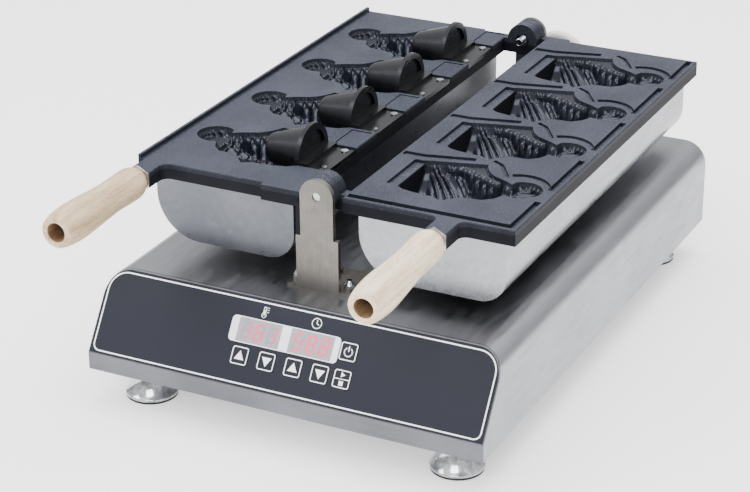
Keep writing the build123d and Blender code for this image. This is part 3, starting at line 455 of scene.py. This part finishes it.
# ---------------------------------------------------------------- relief in the fish hollows
# Lengths are in millimetres: u is the distance from the hinge, v from the fish's middle to its back.
# Each line is half an ellipse: its middle's distance from the hinge, its bulge and its half height.
fold_lines = [
    (26.0, 26.0, 34.0), (29.0, 33.0, 34.0), (33.0, 39.0, 34.5),
    (38.0, 44.0, 35.0), (43.0, 48.0, 35.5), (49.0, 50.0, 36.5),
]
gill_lines = [(61.0, 42.5, 37.5), (64.5, 43.5, 38.0)]
fold_height, gill_height, gill_width = 2.3, 2.0, 1.1
scale_pitch, scale_height, scale_length, scale_width, scale_lean = 8.6, 2.2, 5.4, 4.9, 1.2
scale_start, tail_start = 109, 147
# ribs of each kind: how far they lean, their pitch and their height
belly_lean, belly_pitch, belly_height = 0.5, 3.6, 1.0
tail_lean, tail_pitch, tail_height = 0.35, 4.4, 1.5
fin_lean, fin_pitch, fin_height = 0.45, 3.2, 0.9
# the back fin's foot: its v where u is 99, and how much it falls for each step along u
fin_foot, fin_foot_u, fin_fall = 33, 99, 0.48
# where each form fades in or out, from the first distance to the second
scales_past_gill, scales_to_tail, scales_to_side = (0.5, 3.0), (144, 147), (34, 37)
belly_from_side, belly_to_tail, tail_from_body = (33, 36), (110, 114), (148, 151)
fin_past_gill, fin_from_middle, fin_to_tail, fin_edge = (3.0, 6.0), (12, 16), (132, 138), (-2.0, 0.5)
shelf_edge, fold_depths, folds_past_core, fillet_depths = (-11.0, 0.5), (2.0, 6.0), (54.0, 68.0), (4.0, 9.0)
# the fine mesh: its ends and half width, its step, and the depths that tell what it lies in
relief_near, relief_far, relief_half = {"right": 50.6, "left": 56.0}, 179.0, 50.0
relief_step = 0.75
smallest_depth, fish_depth, shelf_depth = 0.6, 5, 3.4
fillet, rim_dip, lift_off = 1.2, 1.2, 0.12
grow_steps, fillet_steps = 10, 4


def smooth_step(value, low, high):
    """Nought at low, one at high, with soft ends."""
    t = np.clip((value - low) / (high - low), 0.0, 1.0)
    return t * t * (3 - 2 * t)


def bowed(line, v):
    """Distance from the hinge of one of the bowed lines."""
    middle, bulge, half = line
    return middle + bulge * np.sqrt(np.clip(1 - (v / half) ** 2, 0, 1))


def ribs(across, pitch, height):
    """Height of rounded ribs that stand side by side."""
    return height * np.abs(np.cos(pi * across / pitch)) ** 0.8


def fish_relief(u, v):
    """Height of the moulded folds, gills, scales, belly rays and tail ribs."""
    height = np.zeros_like(u)
    folds = [bowed(line, v) for line in fold_lines]
    gills = [bowed(line, v) for line in gill_lines]
    for near, far in zip(folds, folds[1:]):
        t = (u - near) / (far - near)
        rounded = fold_height * np.clip(1 - np.abs(2 * t - 1) ** 2.4, 0, 1) ** 0.7
        height = np.where((t >= 0) & (t <= 1), rounded, height)
    for gill in gills:
        height = np.maximum(height, gill_height * np.exp(-(((u - gill) / gill_width) ** 2)))
    row = np.floor((u - scale_start) / scale_pitch)
    cell_u = (u - scale_start) - (row + 0.5) * scale_pitch
    shifted = v + np.where(row % 2 == 0, 0.0, scale_pitch / 2)
    cell_v = shifted - np.round(shifted / scale_pitch) * scale_pitch
    # each dome's top is off its cell's middle, towards the mouth, as scales overlap
    dome = 1 - ((cell_u + scale_lean) / scale_length) ** 2 - (cell_v / scale_width) ** 2
    scales = scale_height * np.sqrt(np.clip(dome, 0, 1))
    past_gills = smooth_step(u - gills[-1], *scales_past_gill)
    within = (1 - smooth_step(u, *scales_to_tail)) * (1 - smooth_step(np.abs(v), *scales_to_side))
    height = np.maximum(height, scales * past_gills * within)
    on_belly = smooth_step(-v, *belly_from_side) * (1 - smooth_step(u, *belly_to_tail))
    height = np.maximum(height, ribs(u + belly_lean * v, belly_pitch, belly_height) * on_belly)
    tail_ribs = ribs(v - tail_lean * (u - tail_start), tail_pitch, tail_height)
    return np.maximum(height, tail_ribs * smooth_step(u, *tail_from_body))


def neighbours(grid):
    """The four neighbours of each inner point of a grid."""
    return grid[:-2, 1:-1], grid[2:, 1:-1], grid[1:-1, :-2], grid[1:-1, 2:]


def fish_hollow(depth):
    """Marks the grid's points in the fish's own hollow, not those in the shallow grooves beside it."""
    open_here = depth > smallest_depth * mm
    hollow = depth > fish_depth * mm
    for _ in range(grow_steps):
        grown = hollow.copy()
        grown[1:-1, 1:-1] |= np.logical_or.reduce(neighbours(hollow))
        hollow = grown & open_here
    return hollow


def add_fillets(level):
    """Rounds the foot of the walls, as a casting has it, by no more than the fillet's height."""
    rounded = level.copy()
    for _ in range(fillet_steps):
        around = sum(neighbours(rounded)) / 4
        rounded[1:-1, 1:-1] = np.maximum(rounded[1:-1, 1:-1], around)
    most = fillet * mm * smooth_step((parting_z - level) / mm, *fillet_depths)
    level[:] = np.minimum(rounded, level + most)


def seated_grid(side, label, row_y, columns, rows):
    """A fine flat mesh over a hollow, laid down on the casting."""
    near = relief_near[label]
    deselect()
    bpy.ops.mesh.primitive_grid_add(
        x_subdivisions=columns,
        y_subdivisions=rows,
        size=1,
        location=(side * (near + relief_far) / 2 * mm, row_y, parting_z + 5 * mm),
    )
    piece = bpy.context.object
    piece.scale = ((relief_far - near) * mm, 2 * relief_half * mm, 1)
    apply_place()
    wrap = piece.modifiers.new("seat", "SHRINKWRAP")
    wrap.target = nodes[f"{label}_mould_plate"]
    wrap.wrap_method = "PROJECT"
    wrap.use_project_z = True
    wrap.use_negative_direction = True
    wrap.use_positive_direction = False
    bpy.ops.object.modifier_apply(modifier=wrap.name)
    return piece


def add_relief(side, label, row_y, number):
    """Lays a fine mesh into a hollow of the casting and raises the folds, scales and rays on it."""
    length = relief_far - relief_near[label]
    columns, rows = int(length / relief_step), int(2 * relief_half / relief_step)
    piece = seated_grid(side, label, row_y, columns, rows)
    co = np.empty(len(piece.data.vertices) * 3, np.float64)
    piece.data.vertices.foreach_get("co", co)
    co = co.reshape(-1, 3)
    level = co[:, 2].reshape(rows + 1, columns + 1)
    hollow = fish_hollow(parting_z - level)
    add_fillets(level)
    u = side * co[:, 0].reshape(level.shape) / mm
    v = (co[:, 1].reshape(level.shape) - row_y) / mm
    depth = (parting_z - level) / mm
    # the back fin is a shallow shelf with fine rays, between the gill lines and the outline
    past_gill = smooth_step(u - bowed(gill_lines[-1], v), *fin_past_gill)
    at_back = past_gill * smooth_step(v, *fin_from_middle) * (1 - smooth_step(u, *fin_to_tail))
    above_foot = v - (fin_foot - fin_fall * (u - fin_foot_u))
    fin = smooth_step(above_foot, *fin_edge) * at_back
    level += np.clip(depth - shelf_depth, 0, None) * smooth_step(above_foot, *shelf_edge) * at_back * mm
    rise_y, rise_x = np.gradient(level, 2 * relief_half / rows * mm, length / columns * mm)
    facing = np.stack([-rise_x, -rise_y, np.ones_like(level)], axis=-1)
    facing /= np.linalg.norm(facing, axis=-1, keepdims=True)
    # the core fills the mouth when the mould is closed, so the folds rise behind it
    ramp = smooth_step(depth, *fold_depths) * smooth_step(u, *folds_past_core)
    rays = ribs(u - fin_lean * v, fin_pitch, fin_height)
    raised = lift_off + np.where(fin > 0.5, rays, fish_relief(u, v) * ramp)
    # beside the rim the fine mesh dips under the casting, whose own wall shows there
    inner = hollow.copy()
    inner[1:-1, 1:-1] &= np.logical_and.reduce(neighbours(hollow))
    moves = np.where(inner[..., None], facing * raised[..., None], (0.0, 0.0, -rim_dip))
    co += moves.reshape(-1, 3) * mm
    piece.data.vertices.foreach_set("co", co.ravel())
    # only the faces that touch the hollow stay
    corners = np.empty(len(piece.data.polygons) * 4, np.int32)
    piece.data.polygons.foreach_get("vertices", corners)
    outside = ~hollow.ravel()[corners.reshape(-1, 4)].any(axis=1)
    bpy.ops.object.mode_set(mode="EDIT")
    bpy.ops.mesh.select_mode(type="FACE")
    bpy.ops.mesh.select_all(action="DESELECT")
    bpy.ops.object.mode_set(mode="OBJECT")
    piece.data.polygons.foreach_set("select", outside)
    bpy.ops.object.mode_set(mode="EDIT")
    bpy.ops.mesh.delete(type="FACE")
    bpy.ops.object.mode_set(mode="OBJECT")
    bpy.ops.object.shade_smooth_by_angle(angle=radians(38))
    finish_piece(piece, f"{label}_fish_relief_{number}", relief_coat, f"{label}_half")


# ---------------------------------------------------------------- handles, feet and leads
# (height, radius) rings; the grip's last ones run down its bore and its stud hole
grip_rings = [
    (0.0, 4.6), (0.0, 9.4), (0.4, 10.1), (2.2, 11.7), (5.5, 13.7), (9.5, 15.2), (14.5, 15.8),
    (24.0, 15.5), (40.0, 14.9), (56.0, 15.1), (76.0, 16.4), (94.0, 17.6), (106.0, 17.9),
    (116.0, 17.4), (124.0, 16.5), (130.5, 15.4), (132.4, 14.4), (133.0, 13.0), (133.0, 9.9),
    (132.3, 9.0), (130.0, 8.7), (100.0, 8.7), (61.0, 8.7), (59.0, 8.4), (59.0, 4.7), (57.0, 4.6),
    (30.0, 4.6),
]
nut_rings = [(0.1, 5.0), (0.1, 12.2), (0.5, 13.2), (2.0, 13.2), (2.4, 12.2), (2.4, 5.0)]
foot_rings = [
    (2.0, 11.2), (2.0, 24.2), (2.3, 24.9), (3.0, 25.0), (4.1, 25.0), (4.7, 24.7), (5.3, 24.0),
    (7.0, 22.5), (10.0, 20.3), (14.0, 18.0), (19.3, 16.0), (26.0, 14.5), (30.5, 13.6), (30.9, 13.9),
    (33.9, 13.9), (34.6, 13.4), (34.8, 12.4), (34.8, 3.5), (5.2, 3.5), (5.0, 11.2),
]
# the grip starts on the ferrule's outer face, and the nut's rings start before the ferrule's middle
ferrule_half, nut_setback = 1.25, 1.2
bore_edge, bore_bottom = 9.1, 56
foot_radius = 25 * mm
lead_radius = 4.5 * mm
gland_length = 7 * mm


def add_grip(label, wood):
    """Turned grip on its stud, between a hexagonal locking nut and the nut deep in its bore."""
    ferrule = sum(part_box(f"{label}_handle_ferrule"), Vector()) / 2
    nut = sum(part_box(f"{label}_handle_nut"), Vector()) / 2
    along = (nut - ferrule).normalized()
    turn = along.to_track_quat("Z", "Y").to_matrix().to_4x4()
    grip = turned(grip_rings, vertices=32, smoothing=2, angle=60)
    in_bore = [
        hypot(face.center.x, face.center.y) < bore_edge * mm and face.center.z > bore_bottom * mm
        for face in grip.data.polygons
    ]
    place = Matrix.Translation(ferrule + along * ferrule_half * mm) @ turn
    finish_piece(grip, f"{label}_turned_grip", wood, f"{label}_half", place)
    locking_nut = turned(nut_rings, vertices=6, smoothing=0, angle=30)
    seat = Matrix.Translation(ferrule - along * nut_setback * mm) @ turn
    finish_piece(
        locking_nut, f"{label}_locking_nut", materials["bright_steel"], f"{label}_half", seat
    )
    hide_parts(f"{label}_handle_ferrule")
    # the bore's faces take the wood painted dark brown as painted shade in the bore
    grip.data.materials.append(bore_shade_wood)
    grip.data.polygons.foreach_set("material_index", [int(inside) for inside in in_bore])
    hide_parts(f"{label}_wooden_handle")


def add_feet():
    """Four turned and polished feet, joined as one piece."""
    low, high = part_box("feet")
    reach_x = (high.x - low.x) / 2 - foot_radius
    made = []
    for x in (-reach_x, reach_x):
        for y in (low.y + foot_radius, high.y - foot_radius):
            foot = turned(foot_rings, vertices=48, smoothing=1, angle=35)
            foot.location = (x, y, 0)
            apply_place()
            made.append(foot)
    feet = finish_piece(join(made), "turned_feet", materials["bright_steel"], "base")
    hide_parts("feet")


def add_lead(label, points):
    """Sleeved heater lead from the base to a half, as one smooth tube."""
    deselect()
    line = bpy.data.curves.new(f"{label}_lead", "CURVE")
    line.dimensions = "3D"
    line.bevel_depth = lead_radius
    line.bevel_resolution = 5
    line.resolution_u = 14
    line.use_fill_caps = True
    spline = line.splines.new("NURBS")
    spline.points.add(len(points) - 1)
    for point, place in zip(spline.points, points):
        point.co = (*place, 1.0)
    spline.order_u = 3
    spline.use_endpoint_u = True
    lead = bpy.data.objects.new(f"{label}_lead", line)
    bpy.context.scene.collection.objects.link(lead)
    lead.select_set(True)
    bpy.context.view_layer.objects.active = lead
    bpy.ops.object.convert(target="MESH")
    lead = bpy.context.object
    bpy.ops.object.mode_set(mode="EDIT")
    bpy.ops.mesh.select_all(action="SELECT")
    bpy.ops.mesh.remove_doubles(threshold=0.01 * mm)
    bpy.ops.mesh.normals_make_consistent(inside=False)
    bpy.ops.object.mode_set(mode="OBJECT")
    bpy.ops.object.shade_smooth()
    lead.name = lead.data.name = f"{label}_heater_lead"
    lead.data.materials.clear()
    lead.data.materials.append(materials["glass_sleeve"])
    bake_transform(lead)
    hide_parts(f"{label}_conduit")
    deselect()


# ---------------------------------------------------------------- print on the control panel
# panel coordinates in millimetres: x to the right from the middle, v up the slope from its foot
panel_foot = Matrix.Translation((0, front_y, base_bottom + strip_height))
panel_matrix = panel_foot @ Matrix.Rotation(slope_angle, 4, "X")


def settle(piece, name, material, body, lift):
    """Puts a piece drawn in panel coordinates on the slope, and hands it to its body."""
    finish_piece(piece, name, material, body, panel_matrix @ Matrix.Translation((0, 0, lift)))


def print_on_overlay(piece, name):
    """White print on the overlay."""
    settle(piece, name, white_ink, "base", overlay_thick)


def print_on_key(piece, name, key):
    """White print on a key, which moves with the key."""
    settle(piece, name, white_ink, key, key_face)


def thicken():
    """Gives the flat print its ink thickness, in edit mode."""
    bpy.ops.mesh.select_all(action="SELECT")
    bpy.ops.mesh.extrude_region_move(TRANSFORM_OT_translate={"value": (0, 0, ink)})
    bpy.ops.mesh.select_all(action="SELECT")
    bpy.ops.mesh.normals_make_consistent(inside=False)


def rounded_outline(x, v, width, height, line, corner, low_corner=None):
    """The outline of a rounded rectangle, whose lower corners may differ, open in edit mode."""
    deselect()
    bpy.ops.mesh.primitive_plane_add(size=1, location=(x * mm, v * mm, 0))
    piece = bpy.context.object
    piece.scale = (width * mm, height * mm, 1)
    apply_place()
    for low, radius in ((False, corner), (True, low_corner or corner)):
        bpy.ops.object.mode_set(mode="EDIT")
        bpy.ops.mesh.select_mode(type="VERT")
        bpy.ops.mesh.select_all(action="DESELECT")
        bpy.ops.object.mode_set(mode="OBJECT")
        for vertex in piece.data.vertices:
            vertex.select = (vertex.co.y < v * mm) == low
        bpy.ops.object.mode_set(mode="EDIT")
        bpy.ops.mesh.bevel(affect="VERTICES", offset=radius * mm, segments=8)
    bpy.ops.mesh.select_mode(type="FACE")
    bpy.ops.mesh.select_all(action="SELECT")
    bpy.ops.mesh.inset(thickness=line * mm, depth=0)
    bpy.ops.mesh.delete(type="FACE")
    thicken()
    return piece


def polygon(x, v, radius, sides, turn):
    """A flat regular polygon, turned in degrees, open in edit mode."""
    deselect()
    bpy.ops.mesh.primitive_circle_add(
        vertices=sides, radius=radius * mm, fill_type="NGON", location=(0, 0, 0)
    )
    piece = bpy.context.object
    piece.rotation_euler = (0, 0, radians(turn))
    piece.location = (x * mm, v * mm, 0)
    apply_place()
    bpy.ops.object.mode_set(mode="EDIT")
    thicken()
    return piece


def strokes(runs):
    """Printed bars in one piece, each from (x, v, x, v, width) in panel coordinates."""
    deselect()
    made = []
    for x0, v0, x1, v1, width in runs:
        length = hypot(x1 - x0, v1 - v0)
        bpy.ops.mesh.primitive_plane_add(size=1, location=(0, 0, 0))
        bar = bpy.context.object
        bar.scale = ((length + width) * mm, width * mm, 1)
        apply_place()
        bpy.ops.object.mode_set(mode="EDIT")
        bpy.ops.mesh.select_all(action="SELECT")
        bpy.ops.mesh.bevel(affect="VERTICES", offset=0.46 * width * mm, segments=2)
        thicken()
        bpy.ops.object.mode_set(mode="OBJECT")
        bar.rotation_euler = (0, 0, atan2(v1 - v0, x1 - x0))
        bar.location = ((x0 + x1) / 2 * mm, (v0 + v1) / 2 * mm, 0)
        apply_place()
        made.append(bar)
        deselect()
    return join(made)


def ring_arc(x, v, radius, start, stop, width, parts):
    """Runs of strokes() that follow an arc, angles in degrees from +x."""
    spots = [
        (x + radius * cos(radians(a)), v + radius * sin(radians(a)))
        for a in np.linspace(start, stop, parts + 1)
    ]
    return [(*a, *b, width) for a, b in zip(spots, spots[1:])]


# where each segment of a figure runs, from (x, v) to (x, v), in widths and half heights
segment_places = {
    "top": (0, 1, 1, 1),
    "middle": (0, 0, 1, 0),
    "bottom": (0, -1, 1, -1),
    "upper_left": (0, 0, 0, 1),
    "upper_right": (1, 0, 1, 1),
    "lower_left": (0, -1, 0, 0),
    "lower_right": (1, -1, 1, 0),
}
figure_segments = {
    "1": ("upper_right", "lower_right"),
    "5": ("top", "upper_left", "middle", "lower_right", "bottom"),
    "6": ("top", "upper_left", "middle", "lower_left", "lower_right", "bottom"),
    "8": tuple(segment_places),
}
figure_wide, figure_half, figure_pitch = 7.2, 7.0, 13.2
figure_lean = tan(radians(8))
segment_width, segment_gap = 2.2, 1.4


def figure_runs(text, centre_x, centre_v, lit):
    """Strokes of slanted seven-segment figures, either the lit ones or the unlit ones."""
    runs = []
    for number, figure in enumerate(text):
        left = centre_x + (number - (len(text) - 1) / 2) * figure_pitch - figure_wide / 2
        for name, (x0, v0, x1, v1) in segment_places.items():
            if (name in figure_segments[figure]) != lit:
                continue
            (ax, av), (bx, bv) = [
                (left + x * figure_wide + v * figure_half * figure_lean, centre_v + v * figure_half)
                for x, v in ((x0, v0), (x1, v1))
            ]
            length = hypot(bx - ax, bv - av)
            cut_x, cut_v = (bx - ax) / length * segment_gap, (bv - av) / length * segment_gap
            runs.append((ax + cut_x, av + cut_v, bx - cut_x, bv - cut_v, segment_width))
    return runs


# ---------------------------------------------------------------- stage
add_camera()
floor_size, floor_z = 12.0, -0.2 * mm
deselect()
bpy.ops.mesh.primitive_plane_add(size=floor_size, location=(0, 0, floor_z))
studio_floor = bpy.context.object
studio_floor.name = "studio_floor"
# the white paper is lit from below as well, as on a light table
sweep = {"Metallic": 0.0, "Roughness": 0.9, "IOR": 1.5, "Base Color": srgb("#f7f7f7")}
sweep |= {"Emission Color": srgb("#ffffff"), "Emission Strength": 0.6}
studio_floor.data.materials.append(new_material("white_paper_sweep", sweep)[0])

# a white dome that is brightest overhead, as under a studio's ceiling of diffusing cloth
world = bpy.data.worlds.new("studio")
bpy.context.scene.world = world
world.use_nodes = True
sky = world.node_tree
sky_place = add_node(sky, "TexCoord").outputs["Generated"]
sky_height = add_node(sky, "SeparateXYZ", {"Vector": sky_place}).outputs["Z"]
sky_light = add_node(sky, "MapRange", {"Value": sky_height, "To Min": 0.5, "To Max": 2.3})
feed(sky, sky.nodes["Background"], {"Strength": sky_light, "Color": srgb("#ffffff")})

middle = (0, 0, 0.1)
add_softbox("key_softbox", (-1.9, -1.2, 2.3), middle, width=1.6, height=1.6, power=60)
add_softbox("front_softbox", (0.5, -2.4, 1.7), (0, -0.25, 0.1), width=1.4, height=1.0, power=35)
add_softbox("top_softbox", (0.3, 0.5, 2.6), middle, width=2.0, height=2.0, power=70)

# ---------------------------------------------------------------- pieces on the halves and the base
for number, row_y in enumerate(cavity_rows, start=1):
    add_relief(1, "right", row_y, number)
    add_relief(-1, "left", row_y, number)
add_grip("left", darker_grip_wood)
add_grip("right", materials["beech"])
add_feet()

# Each lead leaves its gland in the base's back, bows out behind and enters the gland of its box.
# Its points are in metres.
gland_y = back_y + gland_length
half_gland_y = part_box("left_heater_box")[1].y + gland_length
bulge_y = back_y + 26.5 * mm
half_gland_z = parting_z - 42 * mm
base_gland_z = base_bottom + 60 * mm
add_lead(
    "right",
    [
        (-0.018, gland_y, base_gland_z),
        (-0.018, bulge_y - 0.003, base_gland_z),
        (-0.014, bulge_y, 0.126),
        (-0.006, bulge_y, 0.170),
        (0.008, bulge_y - 0.006, 0.208),
        (0.034, bulge_y - 0.008, 0.210),
        (0.056, bulge_y - 0.006, 0.188),
        (0.072, back_y + 0.008, half_gland_z),
        (0.072, half_gland_y, half_gland_z),
    ],
)
add_lead(
    "left",
    [
        (-0.052, gland_y, base_gland_z),
        (-0.052, bulge_y - 0.003, base_gland_z),
        (-0.058, bulge_y, 0.126),
        (-0.068, bulge_y - 0.006, 0.154),
        (-0.072, back_y + 0.008, half_gland_z),
        (-0.072, half_gland_y, half_gland_z),
    ],
)

# ---------------------------------------------------------------- panel print
outline_low, outline_high, outline_reach = 3.0, 80.5, 196.5
print_on_overlay(
    rounded_outline(
        0,
        (outline_low + outline_high) / 2,
        2 * outline_reach,
        outline_high - outline_low,
        line=1.25,
        corner=19.0,
        low_corner=7.0,
    ),
    "overlay_outline",
)

key_places = {
    "temperature_up_key": (-46.6, 28.2),
    "temperature_down_key": (-19.4, 28.2),
    "timer_up_key": (7.8, 28.2),
    "timer_down_key": (34.5, 28.2),
    "start_stop_key": (56.8, 28.2),
    "power_key": (56.8, 53.0),
}
key_size = 16.2
for key, (x, v) in key_places.items():
    print_on_key(rounded_outline(x, v, key_size, key_size, line=0.9, corner=2.2), f"{key}_outline", key)
    # an arrow lies a little off the key's middle, towards its own flat side
    if "_up_" in key:
        print_on_key(polygon(x, v - 0.8, radius=5.6, sides=3, turn=0), f"{key}_arrow", key)
    elif "_down_" in key:
        print_on_key(polygon(x, v + 0.8, radius=5.6, sides=3, turn=180), f"{key}_arrow", key)

start_x, start_v = key_places["start_stop_key"]
divider = [(start_x - 6.8, start_v, start_x + 6.8, start_v, 0.7)]
print_on_key(strokes(divider), "start_stop_divider", "start_stop_key")
start_triangle = polygon(start_x, start_v + 3.9, radius=2.7, sides=3, turn=-90)
print_on_key(start_triangle, "start_mark", "start_stop_key")
stop_square = polygon(start_x, start_v - 3.9, radius=2.9, sides=4, turn=45)
print_on_key(stop_square, "stop_mark", "start_stop_key")

power_x, power_v = key_places["power_key"]
power_ring = ring_arc(power_x, power_v - 0.4, radius=3.9, start=125, stop=415, width=1.0, parts=18)
power_bar = [(power_x, power_v + 0.4, power_x, power_v + 4.6, 1.0)]
print_on_key(strokes(power_ring + power_bar), "power_mark", "power_key")

thermometer_x, clock_x, sign_v = -33.0, 20.0, 71.5
bulb = ring_arc(thermometer_x, sign_v - 3.2, radius=2.1, start=118, stop=422, width=0.7, parts=12)
tube = [
    (thermometer_x - 1.05, sign_v - 1.3, thermometer_x - 1.05, sign_v + 4.0, 0.7),
    (thermometer_x + 1.05, sign_v - 1.3, thermometer_x + 1.05, sign_v + 4.0, 0.7),
    (thermometer_x - 1.0, sign_v + 4.2, thermometer_x + 1.0, sign_v + 4.2, 0.7),
    (thermometer_x, sign_v - 3.0, thermometer_x, sign_v + 1.2, 0.9),
]
ticks = [(thermometer_x + 2.6, sign_v + h, thermometer_x + 4.0, sign_v + h, 0.6) for h in (0.0, 2.0, 4.0)]
print_on_overlay(strokes(bulb + tube + ticks), "thermometer_sign")

dial = ring_arc(clock_x, sign_v, radius=4.6, start=0, stop=360, width=0.8, parts=20)
hands = [
    (clock_x, sign_v, clock_x, sign_v + 2.9, 0.8),
    (clock_x, sign_v, clock_x + 2.0, sign_v - 1.2, 0.8),
]
print_on_overlay(strokes(dial + hands), "clock_sign")

display_v = 51.9
for name, text, centre_x in (("temperature", "161", -33.3), ("timer", "588", 19.6)):
    for lit, state, segment in ((True, "lit", lit_segment), (False, "unlit", dark_segment)):
        figures = strokes(figure_runs(text, centre_x, display_v, lit))
        settle(figures, f"{name}_figures_{state}", segment, "base", overlay_thick)
